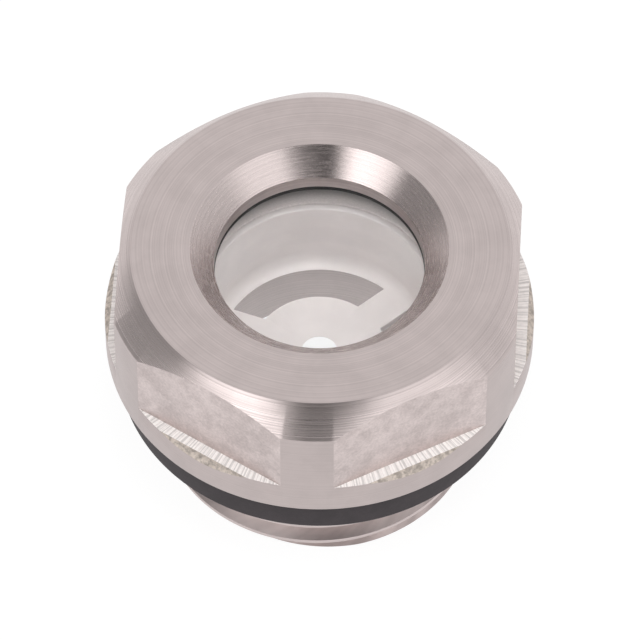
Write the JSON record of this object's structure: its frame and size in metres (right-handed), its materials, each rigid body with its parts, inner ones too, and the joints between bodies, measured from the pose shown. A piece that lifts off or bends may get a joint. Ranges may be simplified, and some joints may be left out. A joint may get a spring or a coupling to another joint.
{
  "type": "tank level gauge",
  "caption": "Screw-in stainless level sight with a hexagon head, a round glass window over a slotted white reflector cup, and a sealing ring behind a short male thread.",
  "frame": {"origin": "centre of the end face of the thread, which is the lowest plane of the part", "axes": "+Z along the axis towards the window; two corners of the hexagon lie on the Y axis"},
  "size_m": [0.028, 0.028, 0.0198],
  "materials": {
    "housing_steel": "turned and milled stainless steel with fine tool marks",
    "seal_rubber": "matt dark grey sealing rubber",
    "gasket_rubber": "matt black",
    "clear_glass": "polished clear glass",
    "white_lacquer": "satin white lacquer on drawn sheet",
    "spring_steel": "bright drawn spring wire"
  },
  "bodies": {
    "root": {"housing": "housing_steel", "tank_seal": "seal_rubber", "glass_gasket": "gasket_rubber", "sight_glass": "clear_glass", "reflector": "white_lacquer", "snap_ring": "spring_steel"}
  },
  "joints": []
}
